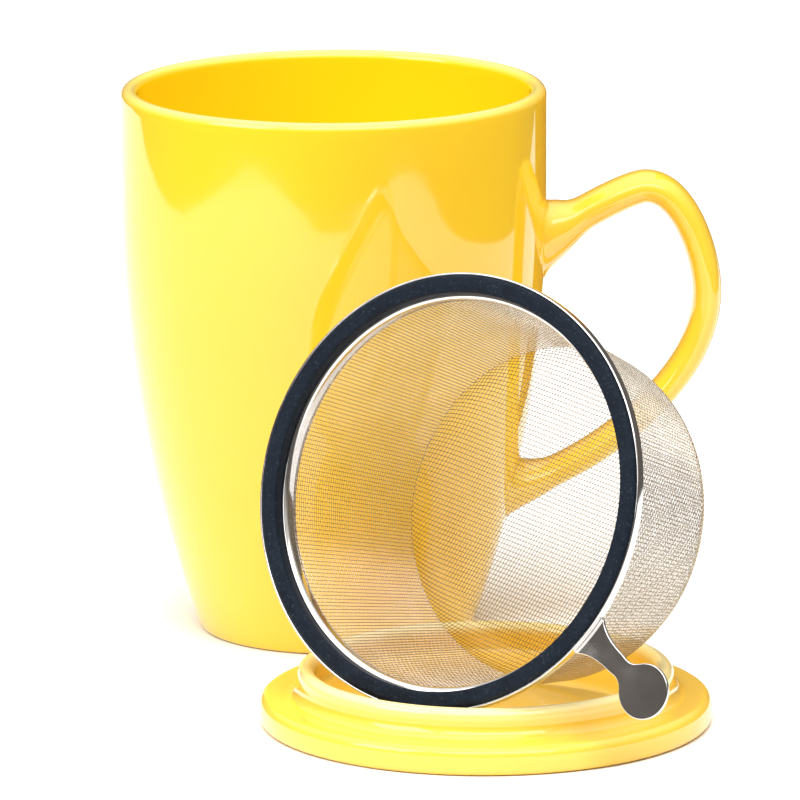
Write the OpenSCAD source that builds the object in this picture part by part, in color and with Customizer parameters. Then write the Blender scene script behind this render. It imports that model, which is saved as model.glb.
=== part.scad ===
/* [Mug] */
// Outer diameter of the mug at its straight upper side
mug_d = 88; // [80:0.5:96]
// Height of the mug
mug_h = 114; // [104:0.5:126]
// Outer diameter of the mug's base
base_d = 56.8; // [50:0.2:64]
// Height below which the side curves in towards the base
curve_h = 90; // [70:1:100]
// Wall thickness of the mug
mug_wall = 3.4; // [2.6:0.1:4.4]
// Thickness of the mug's floor
mug_floor = 5; // [3:0.25:8]
// Inside rounding between the wall and the floor
floor_round = 9; // [5:0.5:14]
// Rounding of the base's outer edge
base_round = 1.4; // [0.6:0.1:2.5]

/* [Handle] */
// Height of the middle of the handle's upper root
handle_top_h = 81.5; // [72:0.5:88]
// Height of the middle of the handle's lower root
handle_low_h = 29; // [24:0.5:38]
// Reach of the handle's centre line from the mug's straight side
handle_reach = 33.1; // [26:0.1:40]
// Height of the highest point of the handle's centre line
handle_crest_h = 92.5; // [86:0.5:97]
// Distance of that highest point from the mug's straight side
handle_crest_reach = 20.5; // [16:0.5:24]
// Height of the outermost point of the handle's centre line
handle_bow_h = 70.4; // [62:0.2:76]
// Thickness of the upper arm, across the strap
handle_t_top = 7; // [5:0.1:9]
// Thickness of the lower arm, across the strap
handle_t_low = 5.7; // [4:0.1:8]
// Width of the strap
handle_w = 12; // [9:0.5:16]
// Extra thickness of the upper root, where it spreads onto the side
top_root_flare = 8.5; // [4:0.25:12]
// Extra thickness of the lower root
low_root_flare = 5.5; // [3:0.25:9]
// Extra width of both roots
root_side_flare = 5; // [2:0.5:8]
// Length over which a root spreads
root_len = 10; // [6:0.5:14]

/* [Lid] */
// How far the lid's edge stands outside the mug's side
lid_overhang = 1.3; // [0.3:0.1:3]
// Thickness of the lid's flange
lid_t = 5.7; // [4:0.1:8]
// Thickness of the lid inside its collar
dish_floor = 5.1; // [3.5:0.1:7]
// Height of the collar above the flange
collar_h = 5.8; // [4:0.1:8]
// Wall thickness of the collar
collar_w = 3.6; // [2.6:0.1:5]
// Rounding of the flange's edges
lid_round = 2; // [0.8:0.1:2.4]
// Hollow rounding between the flange and the collar
collar_root = 2.6; // [1:0.1:3.2]
// Hollow rounding between the collar and the dish
dish_round = 1.6; // [0.8:0.1:2.5]

/* [Infuser] */
// Depth of the infuser below the mug's rim
infuser_depth = 45; // [36:0.5:60]
// Outer diameter of the mesh where the wall would meet the bottom
basket_low_d = 66.8; // [56:0.2:72]
// Rounding between the mesh wall and the mesh bottom
basket_round = 6; // [3:0.25:9]
// Thickness of the woven mesh
mesh_t = 0.5; // [0.4:0.05:0.8]
// Openings around the mesh wall: a plain grid in place of the fine weave
wall_openings = 24; // [16:1:24]
// Rows of openings down the mesh wall
wall_rows = 5; // [4:1:6]
// Spacing of the openings in the mesh bottom
bottom_pitch = 9; // [7.5:0.1:11]
// Width of the bars between openings
mesh_bar = 2.4; // [1.6:0.1:3]
// Thickness of the steel sheet of the rim and the band
sheet_t = 0.5; // [0.4:0.05:0.8]
// Height of the band that holds the mesh to the rim
band_h = 4; // [3:0.25:7]
// Distance of the rim's edge inside the mug's side
rim_inset = 0.4; // [0:0.1:1.5]
// Height of the rim's upturned lip above its seat
lip_h = 2.3; // [1.6:0.1:3]
// Length of the rim's skirt below its seat
skirt_h = 2.1; // [1.6:0.1:3]
// Rounding of the rim's inner shoulder
shoulder_r = 0.9; // [0.6:0.05:1.3]
// Height of the seal ring's top above the rim's seat
gasket_h = 2.9; // [2.5:0.1:4]
// Rounding of the rim's outer edge
lip_bend = 0.25; // [0.1:0.05:0.4]
// Rounding of the seal ring's edges
gasket_round = 0.7; // [0.3:0.05:0.9]

/* [Tab] */
// Angle of the tab around the rim, below the rim's level diameter
tab_angle = 33.2; // [0:0.1:60]
// Thickness of the tab
tab_t = 0.8; // [0.6:0.05:1.2]
// Radius of the tab's round end
tab_end_r = 5.5; // [4:0.1:7]
// Distance of the round end's centre from the rim's edge
tab_reach = 16.7; // [12:0.1:22]
// Width of the tab where it is narrowest
tab_neck_w = 4.4; // [3:0.1:6]
// Distance of the narrowest place from the rim's edge
tab_neck_reach = 8; // [5:0.1:10]
// Width of the tab where it meets the rim
tab_root_w = 9.2; // [6:0.1:12]

/* [Fits] */
// Radial clearance between the infuser's band and the mug's mouth
basket_clearance = 0.7; // [0.3:0.05:1.2]
// Radial clearance between the lid's collar and the infuser's rim
lid_clearance = 0.8; // [0.3:0.05:1.2]

/* [Arrangement] */
// Gap between the mug's base and the lid beside it
lid_gap = 13.8; // [10.5:0.1:20]
// Direction of the lid from the mug, measured from the handle's side
lid_bearing = -70.2; // [-80:0.1:-55]
// Turn of the infuser's axis about the vertical
infuser_turn = 33.5; // [20:0.5:45]
// Distance of the rim's centre from the lid's centre, back along the infuser's axis
infuser_back = 15.65; // [12:0.05:20]
// Distance of the infuser's axis to one side of the lid's centre
infuser_aside = 2.35; // [0:0.05:6]
// Gap between the infuser and what it lies on
rest_gap = 0.3; // [0.1:0.05:0.6]

/* [Hidden] */
GLAZE = "#FFD93B";
STEEL = "#C9CCD0";
SILICONE = "#1F2A38";
$fn = 96;

// Points along one outline: fine on long curves, few on small roundings
SIDE_STEPS = 18;
ROUND_STEPS = 5;
RIM_STEPS = 10;

// Mug
mug_r = mug_d / 2;
base_r = base_d / 2;
mouth_r = mug_r - mug_wall;
rim_round = mug_wall / 2;
side_drop = mug_r - base_r;
side_curve_r = (side_drop * side_drop + curve_h * curve_h) / (2 * side_drop);

// Infuser, from the mug's mouth inwards
rim_r = mug_r - rim_inset;
band_r = mouth_r - basket_clearance;
mesh_top_r = band_r - sheet_t;
skirt_r = mesh_top_r - mesh_t;
opening_r = skirt_r - sheet_t;
lip_r = rim_r - sheet_t;
shoulder_out_r = opening_r + shoulder_r;
gasket_in_r = shoulder_out_r + sheet_t / 2;
mesh_top_z = -shoulder_r + sheet_t / 2;
band_low_z = mesh_top_z - band_h;
basket_low_r = basket_low_d / 2;
wall_run = mesh_top_r - basket_low_r;
wall_drop = infuser_depth + band_low_z;
wall_slope = atan2(wall_run, wall_drop);
round_len = basket_round * tan((90 - wall_slope) / 2);

// Lid
lid_r = mug_r + lid_overhang;
collar_r = opening_r - lid_clearance;
collar_in_r = collar_r - collar_w;
collar_top = lid_t + collar_h;
collar_round = collar_w / 2;
lid_centre = (base_r + lid_gap + lid_r) * [cos(lid_bearing), sin(lid_bearing)];

// Corner of the basket: centre of its rounding
corner_r = basket_low_r - round_len;
corner_z = infuser_depth - basket_round;

// The infuser lies on its side, its lower corner over the dish and its rim over the collar.
// Both heights are found together, step by step, because each one changes the other.
REST_ARC = 50;
REST_STEPS = 10;
START_LEAN = 17;

// Height to clear at a distance from the lid's centre
function collar_height(d) =
    let (off = abs(d - collar_r + collar_round), reach = collar_round + rest_gap)
    off < reach ? collar_top - collar_round + sqrt(reach * reach - off * off) : 0;

// Distance from the lid's centre of a place on the rim's edge, at angle a from its lowest place
function rim_distance(lean, a, up) =
    norm([-infuser_back - rim_r * cos(a) * sin(lean) - up * cos(lean), infuser_aside + rim_r * sin(a)]);

// Height of the rim's centre that puts the edge just over the collar
function rim_height(lean) =
    max([for (a = [-REST_ARC : REST_ARC], up = [0, lip_h])
        collar_height(rim_distance(lean, a, up)) + rim_r * cos(a) * cos(lean) - up * sin(lean)]);

// Lean that puts the basket's corner just over the dish, for a rim's centre at height z
function corner_lean(z) =
    atan2(corner_z, corner_r) - acos((z - basket_round - dish_floor - rest_gap) / norm([corner_r, corner_z]));

function settled_lean(lean, steps) =
    steps == 0 ? lean : settled_lean(corner_lean(rim_height(lean)), steps - 1);

infuser_lean = settled_lean(START_LEAN, REST_STEPS);
infuser_centre = [
    lid_centre.x - infuser_back * sin(infuser_turn) + infuser_aside * cos(infuser_turn),
    lid_centre.y - infuser_back * cos(infuser_turn) - infuser_aside * sin(infuser_turn),
    rim_height(infuser_lean)];

// Outer radius of the mug's side at height z
function side_r(z) = z >= curve_h ? mug_r
    : mug_r - side_curve_r + sqrt(side_curve_r * side_curve_r - (curve_h - z) * (curve_h - z));

// A rounded corner at b, from a to c
function rounded(a, b, c, steps = ROUND_STEPS) =
    [for (i = [0 : steps]) let (t = i / steps) (1 - t) * (1 - t) * a + 2 * t * (1 - t) * b + t * t * c];

// An arc about a centre
function arc(centre, r, from, to, steps = RIM_STEPS) =
    [for (i = [0 : steps]) let (t = from + (to - from) * i / steps) centre + r * [cos(t), sin(t)]];

// A point of the cubic curve with ends p0 and p3 and handles p1 and p2
function cubic(p0, p1, p2, p3, t) =
    (1 - t) * (1 - t) * (1 - t) * p0 + 3 * (1 - t) * (1 - t) * t * p1
    + 3 * (1 - t) * t * t * p2 + t * t * t * p3;

// Outline of the mug's outside, from the axis at the base to the top of the side
function mug_outside() = concat(
    [[0, 0]],
    rounded([base_r - base_round, 0], [side_r(0), 0], [side_r(base_round), base_round]),
    [for (i = [1 : SIDE_STEPS])
        let (z = base_round + (curve_h - base_round) * i / SIDE_STEPS)
        [side_r(z), z]]);

// Outline of the mug's inside, from the top of the wall to the axis at the floor
inside_low = mug_floor + floor_round;
function mug_inside() = concat(
    [for (i = [0 : SIDE_STEPS])
        let (z = curve_h + (inside_low - curve_h) * i / SIDE_STEPS)
        [side_r(z) - mug_wall, z]],
    rounded([side_r(inside_low) - mug_wall, inside_low],
            [side_r(mug_floor) - mug_wall, mug_floor],
            [side_r(mug_floor) - mug_wall - floor_round, mug_floor], RIM_STEPS),
    [[0, mug_floor]]);

module mug_body() {
    color(GLAZE)
    rotate_extrude()
    polygon(concat(
        mug_outside(),
        arc([mug_r - rim_round, mug_h - rim_round], rim_round, 0, 180),
        mug_inside()));
}

// Handle: a rounded strap swept along three cubic curves in the plane y = 0
HANDLE_STEPS = 14;
HANDLE_SIDES = 20;
STRAP_SQUARENESS = 2.5;
ROOT_SINK = 2;
crest_x = mug_r + handle_crest_reach;
bow_x = mug_r + handle_reach;
top_root = [side_r(handle_top_h) - ROOT_SINK, handle_top_h];
low_root = [side_r(handle_low_h) - ROOT_SINK, handle_low_h];
crest = [crest_x, handle_crest_h];
bow = [bow_x, handle_bow_h];
rise_angle = 52;
fall_angle = 17;
// The curves' handle lengths follow from how far each stretch runs
rise = 0.3 * (handle_crest_h - handle_top_h);
crest_in = 0.2 * handle_crest_reach;
crest_out = 0.62 * (bow_x - crest_x);
bow_in = 0.35 * (handle_crest_h - handle_bow_h);
bow_out = 0.45 * (handle_bow_h - handle_low_h);
fall = 0.47 * (bow_x - low_root.x);

function handle_path(t) =
    t < 1 ? cubic(top_root, top_root + rise * [cos(rise_angle), sin(rise_angle)],
                  crest - [crest_in, 0], crest, t)
    : t < 2 ? cubic(crest, crest + [crest_out, 0], bow + [0, bow_in], bow, t - 1)
    : cubic(bow, bow - [0, bow_out], low_root + fall * [cos(fall_angle), sin(fall_angle)], low_root, t - 2);

// How far a root has spread at a distance from it, from 1 to 0
function spread(distance) = (1 + cos(180 * min(distance / root_len, 1))) / 2;

function unit(v) = v / norm(v);

// One ring of the strap. Near a root its plane turns until it stands upright.
SLIGHT = 0.01;
function handle_ring(t) =
    let (p = handle_path(t),
         ahead = unit(handle_path(min(t + SLIGHT, 3)) - handle_path(max(t - SLIGHT, 0))),
         at_top = spread(norm(p - top_root)),
         at_low = spread(norm(p - low_root)),
         out = unit([-ahead.y, ahead.x] * (1 - at_top - at_low) + [0, 1] * at_top + [0, -1] * at_low),
         strap_t = handle_t_top + (handle_t_low - handle_t_top) * t / 3,
         thick = strap_t + top_root_flare * at_top + low_root_flare * at_low,
         wide = handle_w + root_side_flare * (at_top + at_low))
    [for (i = [0 : HANDLE_SIDES - 1])
        let (a = 360 * i / HANDLE_SIDES,
             c = sign(cos(a)) * pow(abs(cos(a)), 2 / STRAP_SQUARENESS),
             s = sign(sin(a)) * pow(abs(sin(a)), 2 / STRAP_SQUARENESS))
        [p.x + out.x * c * thick / 2, s * wide / 2, p.y + out.y * c * thick / 2]];

module handle_strap() {
    rings = 3 * HANDLE_STEPS;
    n = HANDLE_SIDES;
    points = [for (k = [0 : rings]) each handle_ring(3 * k / rings)];
    sides = [for (k = [0 : rings - 1], i = [0 : n - 1])
        [k * n + i, k * n + (i + 1) % n, (k + 1) * n + (i + 1) % n, (k + 1) * n + i]];
    first_end = [for (i = [0 : n - 1]) n - 1 - i];
    last_end = [for (i = [0 : n - 1]) rings * n + i];
    polyhedron(points, concat(sides, [first_end], [last_end]));
}

module mug_handle() {
    color(GLAZE)
    difference() {
        handle_strap();
        rotate_extrude()
        polygon(concat(mug_outside(), [[mug_r, mug_h], [0, mug_h]]));
    }
}

function lid_outline() = concat(
    [[0, 0]],
    rounded([lid_r - lid_round, 0], [lid_r, 0], [lid_r, lid_round]),
    rounded([lid_r, lid_t - lid_round], [lid_r, lid_t], [lid_r - lid_round, lid_t]),
    rounded([collar_r + collar_root, lid_t], [collar_r, lid_t], [collar_r, lid_t + collar_root]),
    arc([collar_r - collar_round, collar_top - collar_round], collar_round, 0, 180),
    rounded([collar_in_r, dish_floor + dish_round], [collar_in_r, dish_floor],
            [collar_in_r - dish_round, dish_floor]),
    [[0, dish_floor]]);

// The lid lies with its outer face down, so its collar stands up
module lid() {
    color(GLAZE)
    translate([lid_centre.x, lid_centre.y, 0])
    rotate_extrude()
    polygon(lid_outline());
}

// The infuser's own frame: its axis is Z, its rim's seat is at z = 0 and its opening faces up
module on_its_side() {
    translate(infuser_centre)
    rotate([90 - infuser_lean, 0, -infuser_turn])
    children();
}

// Rim: an open channel that holds the seal ring, with an upturned lip and a short skirt
function rim_outline() = concat(
    rounded([rim_r - lip_bend, 0], [rim_r, 0], [rim_r, lip_bend]),
    arc([rim_r - sheet_t / 2, lip_h - sheet_t / 2], sheet_t / 2, 0, 180, ROUND_STEPS),
    [[lip_r, sheet_t]],
    rounded([shoulder_out_r, sheet_t], [opening_r, sheet_t], [opening_r, sheet_t - shoulder_r]),
    [[opening_r, -skirt_h], [skirt_r, -skirt_h]],
    rounded([skirt_r, mesh_top_z], [skirt_r, 0], [shoulder_out_r + sheet_t / 2, 0]));

function gasket_outline() = concat(
    [[gasket_in_r, sheet_t], [lip_r, sheet_t]],
    rounded([lip_r, gasket_h - gasket_round], [lip_r, gasket_h], [lip_r - gasket_round, gasket_h]),
    rounded([gasket_in_r + gasket_round, gasket_h], [gasket_in_r, gasket_h],
            [gasket_in_r, gasket_h - gasket_round]));

module infuser_rim() {
    color(STEEL)
    on_its_side()
    rotate_extrude()
    polygon(rim_outline());
}

module infuser_gasket() {
    color(SILICONE)
    on_its_side()
    rotate_extrude()
    polygon(gasket_outline());
}

// Keyhole-shaped lifting tab: a narrow neck that opens to a round end, cut to the rim's edge
TAB_BLEND = 140;
TAB_STEPS = 16;
function tab_side(sgn) =
    let (neck = rim_r + tab_neck_reach,
         end = rim_r + tab_reach,
         meet = [end + tab_end_r * cos(TAB_BLEND), tab_end_r * sin(TAB_BLEND)],
         back = meet - tab_end_r / 2 * [sin(TAB_BLEND), -cos(TAB_BLEND)],
         side = concat(
             [[rim_r - sheet_t, tab_root_w / 2]],
             rounded([rim_r, tab_root_w / 2], [rim_r + tab_neck_reach / 3, tab_neck_w / 2],
                     [neck, tab_neck_w / 2]),
             [for (i = [1 : TAB_STEPS]) let (t = i / TAB_STEPS)
                 cubic([neck, tab_neck_w / 2], [neck + (back.x - neck) / 2, tab_neck_w / 2], back, meet, t)]))
    [for (p = side) [p.x, sgn * p.y]];

function turned(list) = [for (i = [len(list) - 1 : -1 : 0]) list[i]];

module infuser_tab() {
    end = [rim_r + tab_reach, 0];
    round_end = arc(end, tab_end_r, TAB_BLEND, -TAB_BLEND, TAB_STEPS);
    middle = [for (i = [1 : TAB_STEPS - 1]) round_end[i]];
    color(STEEL)
    on_its_side()
    rotate([0, 0, -tab_angle])
    difference() {
        linear_extrude(tab_t) polygon(concat(tab_side(1), middle, turned(tab_side(-1))));
        translate([0, 0, -1]) cylinder(h = tab_t + 2, r = rim_r);
    }
}

module infuser_band() {
    color(STEEL)
    on_its_side()
    translate([0, 0, band_low_z])
    difference() {
        cylinder(h = band_h, r = band_r);
        translate([0, 0, -1]) cylinder(h = band_h + 2, r = mesh_top_r);
    }
}

// The mesh: a sloping wall, and a bottom with an upturned rounding that meets the wall end to end
corner = [corner_r, -corner_z];
corner_in_r = basket_round - mesh_t;

function mesh_wall_outline() = [
    [skirt_r, mesh_top_z],
    [skirt_r, band_low_z],
    corner + corner_in_r * [cos(wall_slope), -sin(wall_slope)],
    corner + basket_round * [cos(wall_slope), -sin(wall_slope)],
    [mesh_top_r, band_low_z],
    [mesh_top_r, mesh_top_z]];

function mesh_bottom_outline() = concat(
    [[0, -infuser_depth]],
    arc(corner, basket_round, -90, -wall_slope),
    arc(corner, corner_in_r, -wall_slope, -90),
    [[0, mesh_t - infuser_depth]]);

// The weave is cut as a plain grid. In the wall its openings stand in rows below the band.
wall_edge_r = corner_r + basket_round * cos(wall_slope);
wall_low_z = -corner_z - basket_round * sin(wall_slope);
row_pitch = (band_low_z - wall_low_z) / wall_rows;
opening_w = 2 * PI * wall_edge_r / wall_openings - mesh_bar;

module wall_grid() {
    for (row = [0 : wall_rows - 1], i = [0 : wall_openings - 1])
        rotate([0, 0, 360 * i / wall_openings])
        translate([mesh_top_r, 0, wall_low_z + (row + 0.5) * row_pitch])
        cube([2 * basket_round, opening_w, row_pitch - mesh_bar], center = true);
}

// In the bottom they are square, and reach as far as the middle of the rounding
bottom_opening = bottom_pitch - mesh_bar;
bottom_open_r = corner_r + basket_round / 2;
bottom_half = floor(bottom_open_r / bottom_pitch);

module bottom_grid() {
    for (i = [-bottom_half : bottom_half], j = [-bottom_half : bottom_half])
        if (norm([abs(i), abs(j)] * bottom_pitch + [1, 1] * bottom_opening / 2) < bottom_open_r)
            translate([i * bottom_pitch, j * bottom_pitch, -infuser_depth])
            cube([bottom_opening, bottom_opening, basket_round], center = true);
}

module infuser_mesh_wall() {
    color(STEEL)
    on_its_side()
    difference() {
        rotate_extrude() polygon(mesh_wall_outline());
        wall_grid();
    }
}

module infuser_mesh_bottom() {
    color(STEEL)
    on_its_side()
    difference() {
        rotate_extrude() polygon(mesh_bottom_outline());
        bottom_grid();
    }
}

mug_body();
mug_handle();
lid();
infuser_rim();
infuser_gasket();
infuser_tab();
infuser_band();
infuser_mesh_wall();
infuser_mesh_bottom();
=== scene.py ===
import math

import bpy
import numpy as np
from mathutils import Matrix, Vector


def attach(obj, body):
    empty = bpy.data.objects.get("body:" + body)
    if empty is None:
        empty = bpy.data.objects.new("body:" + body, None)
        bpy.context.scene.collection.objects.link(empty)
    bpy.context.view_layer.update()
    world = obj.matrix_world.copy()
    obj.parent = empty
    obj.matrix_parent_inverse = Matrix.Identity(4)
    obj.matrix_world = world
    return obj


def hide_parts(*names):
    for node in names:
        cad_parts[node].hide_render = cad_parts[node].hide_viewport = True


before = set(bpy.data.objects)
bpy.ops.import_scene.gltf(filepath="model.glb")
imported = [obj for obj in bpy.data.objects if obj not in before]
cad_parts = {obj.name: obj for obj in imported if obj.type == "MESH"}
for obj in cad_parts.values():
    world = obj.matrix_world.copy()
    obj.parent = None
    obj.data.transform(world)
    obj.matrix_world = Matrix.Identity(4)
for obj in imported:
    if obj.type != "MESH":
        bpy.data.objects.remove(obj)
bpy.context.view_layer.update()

# Lidded tea mug with infuser: the looks. Lengths are in mm, and new_mesh turns them into metres.
MM = 0.001
TAU = 2 * math.pi

# ---------------------------------------------------------------- sizes, the same as the solids'
MUG_R = 44.0
MUG_H = 114.0
MUG_BASE_R = 28.4
CURVE_H = 90.0
WALL = 3.4
FLOOR_Z = 5.0
FLOOR_ROUND = 9.0
BASE_ROUND = 1.4
MOUTH_R = MUG_R - WALL
SIDE_DROP = MUG_R - MUG_BASE_R
SIDE_CURVE = (SIDE_DROP ** 2 + CURVE_H ** 2) / (2 * SIDE_DROP)

TOP_ROOT_Z, LOW_ROOT_Z = 81.5, 29.0
CREST, BOW = np.array([64.5, 92.5]), np.array([77.1, 70.4])
STRAP_W = 12.0
STRAP_T_TOP, STRAP_T_LOW = 7.0, 5.7

LID_R = 45.3
LID_T = 5.7
DISH_Z = 5.1
COLLAR_R = 37.6
COLLAR_IN_R = 34.0
COLLAR_TOP = 11.5
LID_CENTRE = (29.6396, -82.3271)

RIM_R = 43.6
LIP_R = 43.1
OPENING_R = 38.4
SKIRT_R = 38.9
MESH_TOP_R = 39.4
BAND_R = 39.9
GASKET_IN_R = 39.55
GASKET_H = 2.9
LIP_H = 2.3
SKIRT_H = 2.1
SHEET = 0.5
BAND_TOP = -0.65
BAND_LOW = -4.65
DEPTH = 45.0
CORNER_R = 28.2262
CORNER_Z = -39.0
CORNER_ROUND = 6.0
WALL_SLOPE = math.radians(8.45784)
TAB_ANGLE = 33.2
TAB_T = 0.8
TAB_ROOT_HALF, TAB_NECK_HALF = 4.6, 2.2
TAB_FLARE, TAB_NECK, TAB_REACH = 2.67, 8.0, 16.7
TAB_END_R = 5.5

INFUSER_CENTRE = (22.9614, -96.6744, 49.8506)
INFUSER_LEAN = 17.1091
INFUSER_TURN = 33.5

# ---------------------------------------------------------------- sizes of the looks alone
MUG_SIDES, RIM_SIDES, HANDLE_SIDES = 256, 288, 44
STRAIGHT_ZS = (95, 100, 104, 107, 109.5, 111.2)
# under the mug a bare ring stands on the table round a shallow hollow, and the lid has a hollow too
FOOT_HOLLOW_Z, FOOT_IN_R, FOOT_R = 1.1, 21.6, 22.6
BARE_FROM_R, BARE_BELOW_Z = 22.2, 0.2
LID_HOLLOW_Z, LID_HOLLOW_R, LID_FOOT_R = 0.35, 30, 32.5

# the strap leaves the wall at these angles, and the pulls are how far each curve's handles reach
TOP_LEAVE, LOW_LEAVE = math.radians(52), math.radians(17)
TOP_PULL, LOW_PULL = 3.0, 19.0
CREST_PULL_IN, CREST_PULL_OUT = 4.1, 7.8
BOW_PULL_UP, BOW_PULL_DOWN = 7.7, 18.6
STRAP_SQUARENESS = 2.35
# near a root the strap swells and its section turns upright within ROOT_REACH, and within
# HUG_REACH its rings follow the wall
ROOT_SWELL_TOP, ROOT_SWELL_LOW, ROOT_SWELL_W, SWELL_POWER = 6.8, 4.2, 4.0, 1.3
ROOT_REACH, HUG_REACH, HUG_POWER = 11, 9.0, 1.5
ROOT_FILLET = 3.5
ROOT_SINK = 0.35

TAB_BEVEL = 0.16
# a closed outline starts and ends in the middle of a flat, where its first corner doesn't show
RIM_START, RIM_END = 41.5, 41.0
SEAL_START, SEAL_END = 41.3, 40.8
BAND_START, BAND_END = -2.6, -2.7

# the weave: ribs run down the wall and hoops round it, weft and warp cross in the bottom
RIB_PITCH, HOOP_PITCH = 0.86, 0.66
WEFT = (0.94, math.radians(-11.4))
WARP = (0.67, math.radians(64))
WIRE_R = 0.066
WIRE_SIDES = 5
CRIMP = 0.95
SHEET_MID = SHEET / 2
MESH_TOP_Z = -1.6
# no crossing this near a bottom wire's end, and no wire this near the bottom's edge
END_MARGIN, SIDE_MARGIN = 0.05, 0.2
WIRES_TO_TRY = 400

# the glaze mirrors the table's edges as scallops, and the table's near corners are round to suit
TABLE_X, TABLE_Y, TABLE_Z = (-505, 430), (-505, 1400), -0.02
LEFT_CORNER_R, RIGHT_CORNER_R = 328, 205
# a dark cloth behind the handle, outside the frame, gives the glossy right edges their dark line
FLAG_NEAR, FLAG_FAR, FLAG_H = (112, 70), (150, 620), 260


# ---------------------------------------------------------------- mesh helpers
def new_mesh(name, verts, faces, material, smooth=True, uniform=0):
    """An object from points in mm. With uniform=n, faces is an array of n-sided faces."""
    verts = np.asarray(verts, np.float64) * MM
    mesh = bpy.data.meshes.new(name)
    if uniform:
        faces = np.asarray(faces, np.int32)
        count = len(faces)
        mesh.vertices.add(len(verts))
        mesh.vertices.foreach_set("co", verts.astype(np.float32).ravel())
        mesh.loops.add(count * uniform)
        mesh.loops.foreach_set("vertex_index", faces.ravel())
        mesh.polygons.add(count)
        mesh.polygons.foreach_set("loop_start", np.arange(0, count * uniform, uniform, dtype=np.int32))
        mesh.polygons.foreach_set("loop_total", np.full(count, uniform, np.int32))
        mesh.update(calc_edges=True)
    else:
        mesh.from_pydata([tuple(v) for v in verts], [], [tuple(f) for f in faces])
        mesh.update()
    mesh.polygons.foreach_set("use_smooth", np.full(len(mesh.polygons), smooth))
    mesh.validate()
    mesh.materials.append(material)
    obj = bpy.data.objects.new(name, mesh)
    bpy.context.scene.collection.objects.link(obj)
    return obj


def filleted(corners, steps=8):
    """Outline through corners (r, z, radius), each one rounded with a true arc of that radius."""
    out = []
    n = len(corners)
    for i, (r, z, rad) in enumerate(corners):
        p = np.array([r, z], float)
        if rad <= 0 or i in (0, n - 1):
            out.append(p)
            continue
        a = np.array(corners[i - 1][:2], float) - p
        b = np.array(corners[i + 1][:2], float) - p
        la, lb = np.linalg.norm(a), np.linalg.norm(b)
        a, b = a / la, b / lb
        half = math.acos(max(-1.0, min(1.0, float(a @ b)))) / 2
        reach = min(rad / math.tan(half), la, lb)
        rad = reach * math.tan(half)
        mid = a + b
        centre = p + mid / np.linalg.norm(mid) * rad / math.sin(half)
        s, e = p + a * reach - centre, p + b * reach - centre
        t0, t1 = math.atan2(s[1], s[0]), math.atan2(e[1], e[0])
        turn = (t1 - t0 + math.pi) % TAU - math.pi
        for k in range(steps + 1):
            t = t0 + turn * k / steps
            out.append(centre + rad * np.array([math.cos(t), math.sin(t)]))
    return out


def subdivided(points, longest):
    out = [np.array(points[0], float)]
    for p in points[1:]:
        p = np.array(p, float)
        d = np.linalg.norm(p - out[-1])
        if d < 1e-6:
            continue
        n = max(1, math.ceil(d / longest))
        start = out[-1]
        out += [start + (p - start) * k / n for k in range(1, n + 1)]
    return out


def ring_faces(row, sides):
    """Quads from one ring of points to the next, with rings numbered from 0."""
    a, b = row * sides, (row + 1) * sides
    return [(a + k, a + (k + 1) % sides, b + (k + 1) % sides, b + k) for k in range(sides)]


def lathe(name, outline, material, segments, place=None):
    """Turns an outline (r, z) about the z axis. It closes, unless it starts at r = 0, on the axis."""
    ang = np.arange(segments) * TAU / segments
    cos, sin = np.cos(ang), np.sin(ang)
    verts, rows = [], []
    for r, z in np.array(outline, float):
        if r < 1e-6:
            rows.append([len(verts)])
            verts.append((0.0, 0.0, z))
        else:
            rows.append(list(range(len(verts), len(verts) + segments)))
            verts += list(zip(r * cos, r * sin, np.full(segments, z)))
    faces = []
    last = len(rows) if len(rows[0]) > 1 else len(rows) - 1
    for i in range(last):
        a, b = rows[i], rows[(i + 1) % len(rows)]
        for k in range(segments):
            m = (k + 1) % segments
            if len(a) == 1:
                faces.append((a[0], b[m], b[k]))
            elif len(b) == 1:
                faces.append((a[k], a[m], b[0]))
            else:
                faces.append((a[k], a[m], b[m], b[k]))
    verts = np.array(verts)
    if place is not None:
        verts = place(verts)
    return new_mesh(name, verts, faces, material)


# ---------------------------------------------------------------- material helpers
def set_stops(ramp, stops):
    while len(ramp.elements) < len(stops):
        ramp.elements.new(0.5)
    for element, (pos, colour) in zip(ramp.elements, stops):
        element.position = pos
        element.color = (*colour, 1)


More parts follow.
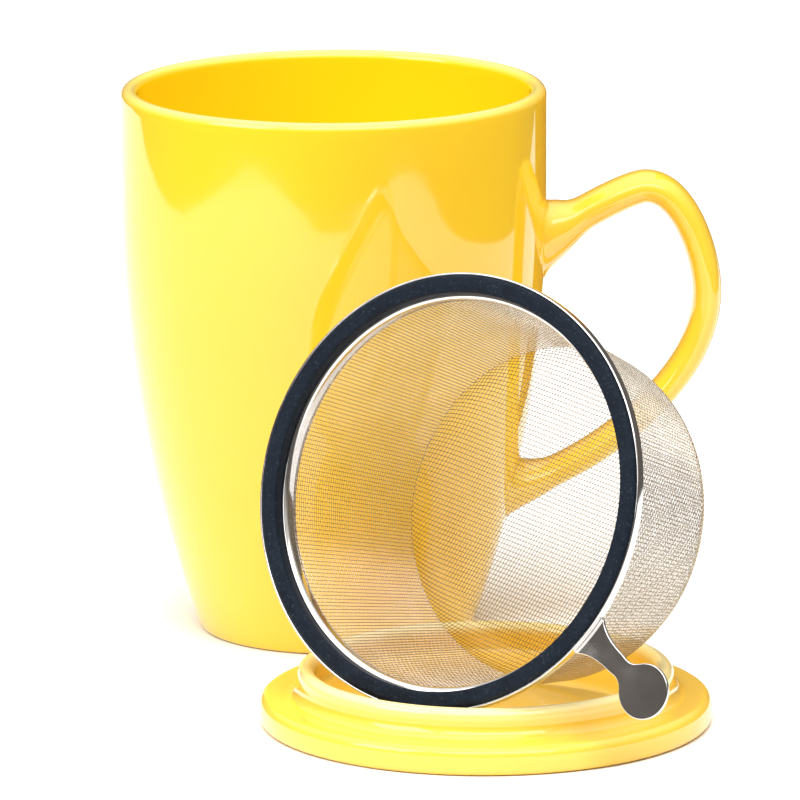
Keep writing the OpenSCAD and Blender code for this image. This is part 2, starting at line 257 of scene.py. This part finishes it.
class Nodes:
    """Short names for building a node tree."""

    def __init__(self, name):
        self.mat = bpy.data.materials.new(name)
        self.mat.use_nodes = True
        self.tree = self.mat.node_tree
        self.bsdf = self.tree.nodes["Principled BSDF"]

    def add(self, kind, **values):
        node = self.tree.nodes.new("ShaderNode" + kind)
        for key, value in values.items():
            node.inputs[key.replace("_", " ")].default_value = value
        return node

    def link(self, a, b):
        self.tree.links.new(a, b)

    def feed(self, output, name):
        self.link(output, self.bsdf.inputs[name])

    def set(self, **values):
        for key, value in values.items():
            self.bsdf.inputs[key.replace("_", " ")].default_value = value

    def place(self):
        return self.add("TexCoord").outputs["Object"]

    def noise(self, scale, detail, rough):
        tex = self.add("TexNoise", Scale=scale, Detail=detail, Roughness=rough)
        self.link(self.place(), tex.inputs["Vector"])
        return tex.outputs["Fac"]

    def ramp(self, fac, low, high, start=0.3, end=0.7):
        node = self.add("ValToRGB")
        set_stops(node.color_ramp, [(start, low), (end, high)])
        self.link(fac, node.inputs["Fac"])
        return node.outputs["Color"]

    def mapped(self, fac, low, high, from_low=0.0, from_high=1.0):
        node = self.add("MapRange", From_Min=from_low, From_Max=from_high, To_Min=low, To_Max=high)
        self.link(fac, node.inputs["Value"])
        return node.outputs["Result"]

    def mix(self, fac, colour, other):
        """colour where fac is 0, and the fixed colour other where it is 1."""
        node = self.add("MixRGB", Color2=(*other, 1))
        self.link(fac, node.inputs["Fac"])
        self.link(colour, node.inputs["Color1"])
        return node.outputs["Color"]

    def bump(self, height, distance, strength, normal=None):
        node = self.add("Bump", Distance=distance, Strength=strength)
        self.link(height, node.inputs["Height"])
        if normal is not None:
            self.link(normal, node.inputs["Normal"])
        return node.outputs["Normal"]


# pale cream that the glaze is mixed to over the crests of the rim and the lid's collar: a painted
# highlight
CREST_HIGHLIGHT_CREAM = (1.0, 0.86, 0.42)


def glaze_material(name, crest_low, crest_high, green=0.600, blue=0.008):
    """Yellow glaze, paled to cream between the heights crest_low and crest_high: a painted highlight
    on the crest of an edge.
    """
    n = Nodes(name)
    cloud = n.noise(18, 3, 0.55)
    speck = n.noise(900, 2, 0.6)
    colour = n.ramp(cloud, (1.0, green, blue), (1.0, green + 0.035, blue + 0.005))
    split = n.add("SeparateXYZ")
    n.link(n.place(), split.inputs["Vector"])
    # the pale crest is a painted highlight, from none at crest_low to full cream at crest_high
    painted_crest_highlight = n.mapped(split.outputs["Z"], 0.0, 1.0, crest_low * MM, crest_high * MM)
    n.feed(n.mix(painted_crest_highlight, colour, CREST_HIGHLIGHT_CREAM), "Base Color")
    n.feed(n.mapped(speck, 0.035, 0.075), "Roughness")
    n.set(IOR=1.55, Coat_Weight=0.5, Coat_IOR=1.55, Coat_Roughness=0.03)
    normal = n.bump(n.noise(55, 2, 0.5), 0.0004, 0.12)
    n.feed(normal, "Normal")
    n.feed(normal, "Coat Normal")
    return n.mat


def matt_material(name, noise, dark, light, bump=None, **shader):
    """A dull surface, mottled between two colours by one noise, which may also raise its grain."""
    n = Nodes(name)
    grain = n.noise(*noise)
    n.feed(n.ramp(grain, dark, light), "Base Color")
    n.set(**shader)
    if bump:
        n.feed(n.bump(grain, *bump), "Normal")
    return n.mat


def silicone_material():
    n = Nodes("silicone_seal")
    cloud = n.noise(260, 4, 0.65)
    dust = n.noise(1700, 4, 0.75)
    base = n.ramp(cloud, (0.0020, 0.0050, 0.0110), (0.006, 0.012, 0.022), end=0.72)
    specks = n.ramp(dust, (0, 0, 0), (1, 1, 1), 0.56, 0.76)
    n.feed(n.mix(specks, base, (0.042, 0.055, 0.072)), "Base Color")
    n.feed(n.mapped(cloud, 0.52, 0.68), "Roughness")
    n.set(IOR=1.42, Specular_IOR_Level=0.22)
    n.feed(n.bump(dust, 0.00008, 0.35), "Normal")
    return n.mat


def steel_material(name, noise, dark, light, rough, bump=None, pressed=None):
    """Steel whose tone and roughness, from rough[0] to rough[1], follow one noise, as may its bump.

    pressed is the noise and the bump of a sheet that isn't quite flat."""
    n = Nodes(name)
    tone = n.noise(*noise)
    n.feed(n.ramp(tone, dark, light), "Base Color")
    n.feed(n.mapped(tone, *rough), "Roughness")
    n.set(Metallic=1.0)
    if bump:
        under = n.bump(n.noise(*pressed[0]), *pressed[1]) if pressed else None
        n.feed(n.bump(tone, *bump, under), "Normal")
    return n.mat


def wire_material(name, dark, light, rough):
    return steel_material(name, (90, 3, 0.6), dark, light, (rough, rough + 0.1))


# heights of the rim's crest, where the glaze is paled to cream as a painted highlight
MUG_CREST = (MUG_H - 1.5, MUG_H + 2.5)
GLAZE = glaze_material("yellow_glaze", *MUG_CREST, blue=0.020)
# the handle's glaze is paler than the mug's: painted light, a brighter-lit copy of the same glaze
HANDLE_GLAZE_PAINTED_LIGHT = glaze_material("yellow_glaze_handle_painted_light", *MUG_CREST, 0.615, 0.045)
# the inside's glaze is a lighter yellow: painted light that stands in for the light filling the mug
INSIDE_GLAZE_PAINTED_LIGHT = glaze_material("yellow_glaze_inside_painted_light", *MUG_CREST, 0.69)
# the lid's glaze is paler than the mug's: painted light, a brighter-lit copy of the same glaze
LID_GLAZE_PAINTED_LIGHT = glaze_material("yellow_glaze_lid_painted_light", COLLAR_TOP - 2.6, COLLAR_TOP + 0.2, blue=0.06)
BISQUE = matt_material("unglazed_foot", (1400, 4, 0.7), (0.62, 0.52, 0.40), (0.76, 0.68, 0.55),
                       (0.0002, 0.4), Roughness=0.8)
SILICONE = silicone_material()
POLISHED = steel_material("polished_steel", (120, 3, 0.6), (0.70, 0.68, 0.665), (0.77, 0.755, 0.74),
                          (0.05, 0.12), (0.0002, 0.06), ((95, 1, 0.4), (0.0006, 0.45)))
BAND_STEEL = steel_material("band_steel", (500, 3, 0.6), (0.60, 0.57, 0.545), (0.70, 0.67, 0.645),
                            (0.2, 0.34), (0.0001, 0.2))
# the wire colours are painted light: one steel shown in golden and brown tones as a painted reflection
# of the yellow glaze, with hoops and warp painted light and ribs and weft painted shade
HOOP_WIRE_PAINTED_LIGHT = wire_material("wall_hoop_wire_painted_light", (0.62, 0.56, 0.46), (0.76, 0.70, 0.61), 0.14)
RIB_WIRE_PAINTED_SHADE = wire_material("wall_rib_wire_painted_shade", (0.28, 0.21, 0.12), (0.40, 0.32, 0.21), 0.18)
WARP_WIRE_PAINTED_LIGHT = wire_material("bottom_warp_wire_painted_light", (0.47, 0.39, 0.24), (0.60, 0.52, 0.37), 0.12)
WEFT_WIRE_PAINTED_SHADE = wire_material("bottom_weft_wire_painted_shade", (0.22, 0.15, 0.06), (0.34, 0.25, 0.13), 0.16)
TABLE_WHITE = matt_material("table_white", (40, 2, 0.5), (0.90, 0.895, 0.89), (0.92, 0.915, 0.91),
                            Roughness=0.9, Specular_IOR_Level=0.1)
DARK_CLOTH = matt_material("dark_flag", (300, 3, 0.6), (0.34, 0.15, 0.025), (0.42, 0.19, 0.035),
                           Roughness=0.95, Specular_IOR_Level=0.1)


# ---------------------------------------------------------------- mug
def side_r(z):
    """The mug's outer radius at a height."""
    if z >= CURVE_H:
        return MUG_R
    return MUG_R - SIDE_CURVE + math.sqrt(SIDE_CURVE ** 2 - (CURVE_H - z) ** 2)


def mug_outline():
    outer = filleted([(0, FOOT_HOLLOW_Z, 0), (FOOT_IN_R, FOOT_HOLLOW_Z, 1.2), (FOOT_R, 0, 0.5),
                      (side_r(0), 0, BASE_ROUND), (side_r(4), 4, 0)], 6)[:-1]
    outer += [np.array([side_r(z), z]) for z in np.linspace(3.0, CURVE_H, 60)]
    outer += [np.array([MUG_R, z]) for z in STRAIGHT_ZS]
    lip = WALL / 2
    arc = [np.array([MUG_R - lip + lip * math.cos(t), MUG_H - lip + lip * math.sin(t)])
           for t in np.linspace(0, math.pi, 19)]
    inner = [np.array([MOUTH_R, z]) for z in STRAIGHT_ZS[::-1]]
    round_z = FLOOR_Z + FLOOR_ROUND
    inner += [np.array([side_r(z) - WALL, z]) for z in np.linspace(CURVE_H, round_z + 1, 50)]
    corner = filleted([(side_r(round_z) - WALL, round_z, 0),
                       (side_r(FLOOR_Z) - WALL, FLOOR_Z, FLOOR_ROUND), (10, FLOOR_Z, 0)], 14)
    return outer + arc + inner + corner[:-1] + [np.array([10, FLOOR_Z]), np.array([0, FLOOR_Z])]


mug = lathe("mug_shell", mug_outline(), GLAZE, MUG_SIDES)
mug.data.materials.append(BISQUE)
# the inside of the mug gets the lighter copy of the glaze: painted light
mug.data.materials.append(INSIDE_GLAZE_PAINTED_LIGHT)
for poly in mug.data.polygons:
    c = poly.center / MM
    radius = math.hypot(c.x, c.y)
    if c.z < BARE_BELOW_Z and abs(poly.normal.z) > 0.9 and radius > BARE_FROM_R:
        poly.material_index = 1
    elif c.z > FLOOR_Z - 0.5 and radius < side_r(c.z) - WALL / 2:
        poly.material_index = 2
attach(mug, "mug")
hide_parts("mug_body")


# ---------------------------------------------------------------- handle
def cubic(p0, p1, p2, p3, t):
    return (1 - t) ** 3 * p0 + 3 * (1 - t) ** 2 * t * p1 + 3 * (1 - t) * t * t * p2 + t ** 3 * p3


def handle_point(t):
    """The strap's middle line: 0 at the top root, 1 at the crest, 2 at the bow, 3 at the low root."""
    top = np.array([side_r(TOP_ROOT_Z), TOP_ROOT_Z])
    low = np.array([side_r(LOW_ROOT_Z), LOW_ROOT_Z])
    if t < 1:
        leave = top + TOP_PULL * np.array([math.cos(TOP_LEAVE), math.sin(TOP_LEAVE)])
        return cubic(top, leave, CREST - [CREST_PULL_IN, 0], CREST, t)
    if t < 2:
        return cubic(CREST, CREST + [CREST_PULL_OUT, 0], BOW + [0, BOW_PULL_UP], BOW, t - 1)
    arrive = low + LOW_PULL * np.array([math.cos(LOW_LEAVE), math.sin(LOW_LEAVE)])
    return cubic(BOW, BOW - [0, BOW_PULL_DOWN], arrive, low, t - 2)


def handle_mesh():
    ts = np.concatenate([np.linspace(0, 0.25, 26)[:-1], np.linspace(0.25, 2.75, 110)[:-1],
                         np.linspace(2.75, 3, 26)])
    path = np.array([handle_point(t) for t in ts])
    step = np.gradient(path, axis=0)
    ahead = step / np.linalg.norm(step, axis=1)[:, None]
    seg = np.concatenate([[0], np.cumsum(np.linalg.norm(np.diff(path, axis=0), axis=1))])
    total = seg[-1]
    ang = np.arange(HANDLE_SIDES) * TAU / HANDLE_SIDES
    power = 2 / STRAP_SQUARENESS
    ca = np.sign(np.cos(ang)) * np.abs(np.cos(ang)) ** power
    sa = np.sign(np.sin(ang)) * np.abs(np.sin(ang)) ** power
    verts = []
    for i, p in enumerate(path):
        d_top, d_low = seg[i], total - seg[i]
        w_top = 0.5 + 0.5 * math.cos(math.pi * min(d_top / ROOT_REACH, 1))
        w_low = 0.5 + 0.5 * math.cos(math.pi * min(d_low / ROOT_REACH, 1))
        normal = np.array([-ahead[i, 1], ahead[i, 0]])
        out = normal * (1 - w_top - w_low) + np.array([0, 1.0]) * w_top + np.array([0, -1.0]) * w_low
        out /= np.linalg.norm(out)
        swell_top, swell_low = w_top ** SWELL_POWER, w_low ** SWELL_POWER
        thick = (STRAP_T_TOP + (STRAP_T_LOW - STRAP_T_TOP) * ts[i] / 3
                 + ROOT_SWELL_TOP * swell_top + ROOT_SWELL_LOW * swell_low)
        wide = STRAP_W + ROOT_SWELL_W * (swell_top + swell_low)
        for d in (d_top, d_low):
            if d < ROOT_FILLET:
                fillet = ROOT_FILLET - math.sqrt(ROOT_FILLET ** 2 - (ROOT_FILLET - d) ** 2)
                thick += fillet
                wide += fillet
        u = ca * thick / 2
        y = sa * wide / 2
        x = p[0] + out[0] * u
        z = p[1] + out[1] * u
        # near a root the ring follows the mug's round and sloping wall
        root = TOP_ROOT_Z if d_top < d_low else LOW_ROOT_Z
        hug = max(0.0, 1 - min(d_top, d_low) / HUG_REACH) ** HUG_POWER
        for k in range(HANDLE_SIDES):
            wall_shift = side_r(z[k]) - side_r(root)
            round_shift = math.sqrt(max(0, side_r(z[k]) ** 2 - y[k] ** 2)) - side_r(z[k])
            verts.append((x[k] + hug * (wall_shift + round_shift), y[k], z[k]))
    verts = np.array(verts)
    # the ends are sunk a little, so no gap shows
    verts[:HANDLE_SIDES, 0] -= ROOT_SINK
    verts[-HANDLE_SIDES:, 0] -= ROOT_SINK
    return verts, [f for i in range(len(path) - 1) for f in ring_faces(i, HANDLE_SIDES)]


handle = new_mesh("mug_handle_strap", *handle_mesh(), HANDLE_GLAZE_PAINTED_LIGHT)
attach(handle, "mug")
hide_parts("mug_handle")


# ---------------------------------------------------------------- lid
def lid_outline():
    pts = filleted([(0, LID_HOLLOW_Z, 0), (LID_HOLLOW_R, LID_HOLLOW_Z, 3), (LID_FOOT_R, 0, 3),
                    (LID_R - 0.1, 0, 1.5), (LID_R, LID_T / 2, 6), (LID_R - 0.15, LID_T, 1.9),
                    (COLLAR_R, LID_T - 0.15, 2.8), (COLLAR_R, COLLAR_TOP, 1.8),
                    (COLLAR_IN_R, COLLAR_TOP, 1.8), (COLLAR_IN_R, DISH_Z, 1.7), (20, DISH_Z, 0)], 12)
    return subdivided(pts, 2.5) + [np.array([0, DISH_Z])]


def at_lid(verts):
    return verts + np.array([*LID_CENTRE, 0])


lid = lathe("lid_shell", lid_outline(), LID_GLAZE_PAINTED_LIGHT, MUG_SIDES, at_lid)
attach(lid, "lid")
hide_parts("lid")

# ---------------------------------------------------------------- infuser, drawn with its opening up
TILT = np.array(Matrix.Translation(Vector(INFUSER_CENTRE))
                @ Matrix.Rotation(math.radians(-INFUSER_TURN), 4, "Z")
                @ Matrix.Rotation(math.radians(90 - INFUSER_LEAN), 4, "X"))


def turned(directions):
    return directions @ TILT[:3, :3].T


def on_side(verts):
    return turned(np.asarray(verts, float)) + TILT[:3, 3]


def infuser_piece(obj, node):
    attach(obj, "infuser")
    if node:
        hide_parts(node)


rim_pts = filleted([(RIM_START, 0, 0), (RIM_R, 0, 0.3), (RIM_R, LIP_H, 0.22), (LIP_R, LIP_H, 0.22),
                    (LIP_R, SHEET, 0.1), (OPENING_R, SHEET, 0.9), (OPENING_R, -SKIRT_H, 0.12),
                    (SKIRT_R, -SKIRT_H, 0.12), (SKIRT_R, 0, 0.65), (RIM_END, 0, 0)], 8)
gasket_pts = filleted([(SEAL_START, SHEET, 0), (LIP_R, SHEET, 0.1), (LIP_R, GASKET_H, 0.95),
                       (GASKET_IN_R, GASKET_H, 0.6), (GASKET_IN_R, SHEET, 0.2),
                       (SEAL_END, SHEET, 0)], 9)
band_pts = filleted([(BAND_R, BAND_START, 0), (BAND_R, BAND_TOP, 0.2), (MESH_TOP_R, BAND_TOP, 0.1),
                     (MESH_TOP_R, BAND_LOW, 0.1), (BAND_R, BAND_LOW, 0.2), (BAND_R, BAND_END, 0)], 5)
rim = lathe("infuser_rim_channel", rim_pts, POLISHED, RIM_SIDES, on_side)
infuser_piece(rim, "infuser_rim")
gasket = lathe("infuser_seal", gasket_pts, SILICONE, RIM_SIDES, on_side)
infuser_piece(gasket, "infuser_gasket")
band = lathe("infuser_hoop", band_pts, BAND_STEEL, RIM_SIDES, on_side)
infuser_piece(band, "infuser_band")


def tab_outline():
    """Half of the tab, from the rim to the round end, then mirrored."""
    neck_x, end_x = RIM_R + TAB_NECK, RIM_R + TAB_REACH
    blend = math.radians(140)
    meet = np.array([end_x + TAB_END_R * math.cos(blend), TAB_END_R * math.sin(blend)])
    back = meet - TAB_END_R / 2 * np.array([math.sin(blend), -math.cos(blend)])
    half = [np.array([math.sqrt(RIM_R ** 2 - TAB_ROOT_HALF ** 2) - 0.02, TAB_ROOT_HALF])]
    q0 = np.array([RIM_R, TAB_ROOT_HALF])
    q1 = np.array([RIM_R + TAB_FLARE, TAB_NECK_HALF])
    q2 = np.array([neck_x, TAB_NECK_HALF])
    for k in range(1, 11):
        t = k / 10
        half.append((1 - t) ** 2 * q0 + 2 * t * (1 - t) * q1 + t * t * q2)
    pull = np.array([neck_x + (back[0] - neck_x) / 2, TAB_NECK_HALF])
    half += [cubic(q2, pull, back, meet, k / 14) for k in range(1, 15)]
    arc = [np.array([end_x + TAB_END_R * math.cos(a), TAB_END_R * math.sin(a)])
           for a in np.linspace(blend, -blend, 41)[1:-1]]
    other = [np.array([p[0], -p[1]]) for p in half[::-1]]
    spread = math.asin(TAB_ROOT_HALF / RIM_R)
    root = [np.array([RIM_R * math.cos(a) - 0.02, RIM_R * math.sin(a)])
            for a in np.linspace(-spread, spread, 9)[1:-1]]
    return half + arc + other + root


def tab_mesh():
    """Plate with rounded edges: the outline is repeated at several heights, drawn in at both faces."""
    edge = np.array(tab_outline())
    n = len(edge)
    tang = np.roll(edge, -1, 0) - np.roll(edge, 1, 0)
    tang /= np.linalg.norm(tang, axis=1)[:, None]
    inward = np.stack([tang[:, 1], -tang[:, 0]], 1)
    layers = []
    for k in range(4):
        a = math.pi / 2 * k / 3
        layers.append((TAB_BEVEL * (1 - math.sin(a)), TAB_BEVEL * (1 - math.cos(a))))
    rows = layers + [(x, TAB_T - z) for x, z in layers[::-1]]
    verts = np.array([(a, b, z) for inset, z in rows for a, b in edge + inward * inset])
    faces = [f for i in range(len(rows) - 1) for f in ring_faces(i, n)]
    faces.append(tuple(range(n - 1, -1, -1)))
    faces.append(tuple((len(rows) - 1) * n + k for k in range(n)))
    a = math.radians(-TAB_ANGLE)
    turn = np.array([[math.cos(a), -math.sin(a), 0], [math.sin(a), math.cos(a), 0], [0, 0, 1]])
    return on_side(verts @ turn.T), faces


tab = new_mesh("infuser_lift_tab", *tab_mesh(), POLISHED)
for poly in tab.data.polygons:
    if len(poly.vertices) > 4:
        poly.use_smooth = False
infuser_piece(tab, "infuser_tab")


# ---------------------------------------------------------------- woven mesh
def tubes(mid, normal, across, closed=False):
    """Points and quads of round wires along the rows of mid, an array (wires, points, 3)."""
    count, length, _ = mid.shape
    ang = np.arange(WIRE_SIDES) * TAU / WIRE_SIDES + math.pi / 2
    cos, sin = np.cos(ang)[None, None, :, None], np.sin(ang)[None, None, :, None]
    ring = mid[:, :, None, :] + WIRE_R * (cos * across[:, :, None, :] + sin * normal[:, :, None, :])
    base = np.arange(count * length).reshape(count, length) * WIRE_SIDES
    a, b = (base, np.roll(base, -1, 1)) if closed else (base[:, :-1], base[:, 1:])
    faces = []
    for s in range(WIRE_SIDES):
        t = (s + 1) % WIRE_SIDES
        faces.append(np.stack([a + s, a + t, b + t, b + s], -1).reshape(-1, 4))
    return ring.reshape(-1, 3), np.concatenate(faces)


def over_under(i, j):
    """Shift of wire i where it crosses wire j: out and in by turns, as in a plain weave."""
    return ((i + j) % 2 * 2 - 1)[..., None] * WIRE_R * CRIMP


def wires(name, verts, faces, material, node=None):
    infuser_piece(new_mesh(name, verts, faces, material, uniform=4), node)


def wall_grid():
    """Crossings of the mesh wall with the three directions there, rows from top to bottom."""
    columns = 2 * round(math.pi * MESH_TOP_R / RIB_PITCH)
    top_r = (SKIRT_R + MESH_TOP_R) / 2
    mid_round = CORNER_ROUND - SHEET_MID
    top, bend = np.array([top_r, MESH_TOP_Z]), np.array([top_r, BAND_LOW])
    low = np.array([CORNER_R + mid_round * math.cos(WALL_SLOPE),
                    CORNER_Z - mid_round * math.sin(WALL_SLOPE)])
    first = round(np.linalg.norm(bend - top) / HOOP_PITCH)
    second = round(np.linalg.norm(low - bend) / HOOP_PITCH)
    prof = [top + (bend - top) * k / first for k in range(first)]
    prof += [bend + (low - bend) * k / second for k in range(second + 1)]
    prof = np.array(prof)
    tang = np.gradient(prof, axis=0)
    tang /= np.linalg.norm(tang, axis=1)[:, None]
    out = np.stack([-tang[:, 1], tang[:, 0]], 1)
    ang = np.arange(columns) * TAU / columns
    cos, sin = np.cos(ang), np.sin(ang)

    def spin(rz):
        r, z = rz[:, 0][:, None], rz[:, 1][:, None]
        return np.stack([r * cos, r * sin, z + 0 * cos], -1)

    points = spin(prof)
    flat = 0 * points[..., 0]
    around = np.stack([-sin + flat, cos + flat, flat], -1)
    points = on_side(points.reshape(-1, 3)).reshape(points.shape)
    return points, turned(spin(out)), turned(spin(tang)), turned(around)


points, normal, down, around = wall_grid()
rows, columns = np.indices(points.shape[:2])
hoops = points + normal * over_under(rows, columns)
half = len(hoops) // 2
for label, part, node in (("upper", slice(0, half), "infuser_mesh_wall"),
                          ("lower", slice(half, None), None)):
    verts, faces = tubes(hoops[part], normal[part], down[part], True)
    wires("mesh_wall_hoops_" + label, verts, faces, HOOP_WIRE_PAINTED_LIGHT, node)
ribs = (points - normal * over_under(rows, columns)).transpose(1, 0, 2)
normal, around = normal.transpose(1, 0, 2), around.transpose(1, 0, 2)
half = len(ribs) // 2
for label, part in (("left", slice(0, half)), ("right", slice(half, None))):
    verts, faces = tubes(ribs[part], normal[part], around[part])
    wires("mesh_wall_ribs_" + label, verts, faces, RIB_WIRE_PAINTED_SHADE)


def bottom_surface(x, y):
    """Point and normal of the bottom for a place (x, y) on the flat sheet that it was drawn from."""
    rho = np.hypot(x, y)
    mid_r = CORNER_ROUND - SHEET_MID
    arc = np.clip((rho - CORNER_R) / mid_r, 0, math.pi / 2 - WALL_SLOPE)
    r = np.where(rho < CORNER_R, rho, CORNER_R + mid_r * np.sin(arc))
    z = np.where(rho < CORNER_R, -DEPTH + SHEET_MID, CORNER_Z - mid_r * np.cos(arc))
    safe = np.maximum(rho, 1e-9)
    cx, cy = x / safe, y / safe
    p = np.stack([r * cx, r * cy, z], -1)
    nrm = np.stack([np.sin(arc) * cx, np.sin(arc) * cy, -np.cos(arc)], -1)
    return p, nrm


def bottom_wires(family, other, side):
    """One family of parallel wires in the bottom. family and other are (pitch, turn)."""
    limit = CORNER_R + (CORNER_ROUND - SHEET_MID) * (math.pi / 2 - WALL_SLOPE)
    pitch, turn = family
    other_pitch, other_turn = other
    along = np.array([math.cos(turn), math.sin(turn)])
    across = np.array([-along[1], along[0]])
    other_across = np.array([-math.sin(other_turn), math.cos(other_turn)])
    count = int(limit / pitch)
    all_v, all_f, offset = [], [], 0
    for k in range(-count, count):
        place = (k + 0.5) * pitch
        if abs(place) > limit - SIDE_MARGIN:
            continue
        reach = math.sqrt(limit ** 2 - place ** 2)
        # the wire meets wire m of the other family where their two line equations both hold
        m = np.arange(-WIRES_TO_TRY, WIRES_TO_TRY)
        run = ((m + 0.5) * other_pitch - place * (across @ other_across)) / (along @ other_across)
        inside = np.abs(run) < reach - END_MARGIN
        order = np.argsort(run[inside])
        m, run = m[inside][order], run[inside][order]
        if len(run) < 2:
            continue
        m = np.concatenate([[m[0]], m, [m[-1]]])
        run = np.concatenate([[-reach], run, [reach]])
        xy = run[:, None] * along + place * across
        p, nrm = bottom_surface(xy[:, 0], xy[:, 1])
        tang = np.gradient(p, axis=0)
        tang /= np.linalg.norm(tang, axis=1)[:, None]
        mid = p + side * nrm * over_under(m, np.full_like(m, k))
        v, f = tubes(mid[None], nrm[None], np.cross(nrm, tang)[None])
        all_v.append(v)
        all_f.append(f + offset)
        offset += len(v)
    return on_side(np.concatenate(all_v)), np.concatenate(all_f)


wires("mesh_bottom_warp", *bottom_wires(WARP, WEFT, 1), WARP_WIRE_PAINTED_LIGHT, "infuser_mesh_bottom")
wires("mesh_bottom_weft", *bottom_wires(WEFT, WARP, -1), WEFT_WIRE_PAINTED_SHADE)


# ---------------------------------------------------------------- table and flag
def round_corner(x, y, radius, start):
    return [(x + radius * math.cos(a), y + radius * math.sin(a), TABLE_Z)
            for a in start + np.linspace(0, math.pi / 2, 25)]


table_edge = [(TABLE_X[1], TABLE_Y[1], TABLE_Z), (TABLE_X[0], TABLE_Y[1], TABLE_Z)]
table_edge += round_corner(TABLE_X[0] + LEFT_CORNER_R, TABLE_Y[0] + LEFT_CORNER_R,
                           LEFT_CORNER_R, math.pi)
table_edge += round_corner(TABLE_X[1] - RIGHT_CORNER_R, TABLE_Y[0] + RIGHT_CORNER_R,
                           RIGHT_CORNER_R, 1.5 * math.pi)
table = new_mesh("table_top", table_edge, [tuple(range(len(table_edge)))], TABLE_WHITE, False)

flag_corners = [(*FLAG_NEAR, 0), (*FLAG_FAR, 0), (*FLAG_FAR, FLAG_H), (*FLAG_NEAR, FLAG_H)]
flag = new_mesh("dark_flag", flag_corners, [(0, 1, 2, 3)], DARK_CLOTH, False)
flag.visible_camera = False
flag.visible_shadow = False
flag.visible_diffuse = False


# ---------------------------------------------------------------- world: white backdrop, soft dome
def dome_colour(level):
    """Grey of that level, a little warmer the darker it is."""
    warm = max(0.0, 1 - level)
    return level, level * (1 - 0.11 * warm), level * (1 - 0.22 * warm)


# how high a direction points, from 0 at the horizon to 1 straight up, and the light from there
DOME = [(0.0, 0.14), (0.30, 0.14), (0.45, 0.55), (0.75, 1.15), (1.0, 2.0)]
world = bpy.data.worlds.new("studio")
bpy.context.scene.world = world
world.use_nodes = True
world.node_tree.nodes.clear()


def world_node(kind):
    return world.node_tree.nodes.new("ShaderNode" + kind)


def world_link(a, b):
    world.node_tree.links.new(a, b)


backdrop, dome = world_node("Background"), world_node("Background")
backdrop.inputs["Color"].default_value = (1, 1, 1, 1)
backdrop.inputs["Strength"].default_value = 1.0
dome.inputs["Strength"].default_value = 1.0
height, grade = world_node("SeparateXYZ"), world_node("ValToRGB")
set_stops(grade.color_ramp, [(at, dome_colour(level)) for at, level in DOME])
world_link(world_node("TexCoord").outputs["Generated"], height.inputs["Vector"])
world_link(height.outputs["Z"], grade.inputs["Fac"])
world_link(grade.outputs["Color"], dome.inputs["Color"])
mixed = world_node("MixShader")
world_link(world_node("LightPath").outputs["Is Camera Ray"], mixed.inputs["Fac"])
world_link(dome.outputs["Background"], mixed.inputs[1])
world_link(backdrop.outputs["Background"], mixed.inputs[2])
world_link(mixed.outputs["Shader"], world_node("OutputWorld").inputs["Surface"])

# ---------------------------------------------------------------- lamps, in metres and watts
AIM = (0.02, -0.05, 0.05)


def area_light(name, place, size, power):
    data = bpy.data.lights.new(name, "AREA")
    data.shape = "RECTANGLE"
    data.size, data.size_y = size
    data.energy = power
    obj = bpy.data.objects.new(name, data)
    bpy.context.scene.collection.objects.link(obj)
    obj.location = place
    direction = Vector(AIM) - Vector(place)
    obj.rotation_euler = direction.to_track_quat("-Z", "Y").to_euler()
    return obj


area_light("key_left", (-1.1, -0.75, 0.95), (0.9, 0.9), 9.0)
area_light("front_fill", (0.15, -1.45, 1.7), (2.0, 0.7), 14.0)
top_box = area_light("top_box", (-0.05, -0.5, 1.6), (0.9, 0.7), 14.0)
top_box.visible_glossy = False

# ---------------------------------------------------------------- camera, as for the photograph
CAM_DISTANCE = 1800.0
CAM_HEIGHT = 441.976
CAM_YAW, CAM_PITCH, CAM_ROLL = 0.00744, 0.21574, -0.00453
FOCAL_PX, FRAME_PX, SENSOR = 8861.58, 800, 36.0
cam_data = bpy.data.cameras.new("photo_camera")
cam_data.sensor_fit = "HORIZONTAL"
cam_data.sensor_width = SENSOR
cam_data.lens = FOCAL_PX / FRAME_PX * SENSOR
cam_data.clip_start = 0.05
cam_data.clip_end = 20
camera = bpy.data.objects.new("photo_camera", cam_data)
bpy.context.scene.collection.objects.link(camera)
forward = Vector((math.sin(CAM_YAW) * math.cos(CAM_PITCH), math.cos(CAM_YAW) * math.cos(CAM_PITCH),
                  -math.sin(CAM_PITCH)))
right = forward.cross(Vector((0, 0, 1))).normalized()
up = right.cross(forward)
rolled_right = math.cos(CAM_ROLL) * right + math.sin(CAM_ROLL) * up
rolled_up = -math.sin(CAM_ROLL) * right + math.cos(CAM_ROLL) * up
pose = Matrix.Identity(4)
for i in range(3):
    pose[i][0], pose[i][1], pose[i][2] = rolled_right[i], rolled_up[i], -forward[i]
pose[0][3], pose[1][3], pose[2][3] = 0.0, -CAM_DISTANCE * MM, CAM_HEIGHT * MM
camera.matrix_world = pose
bpy.context.scene.camera = camera
bpy.context.scene.view_settings.view_transform = "Standard"
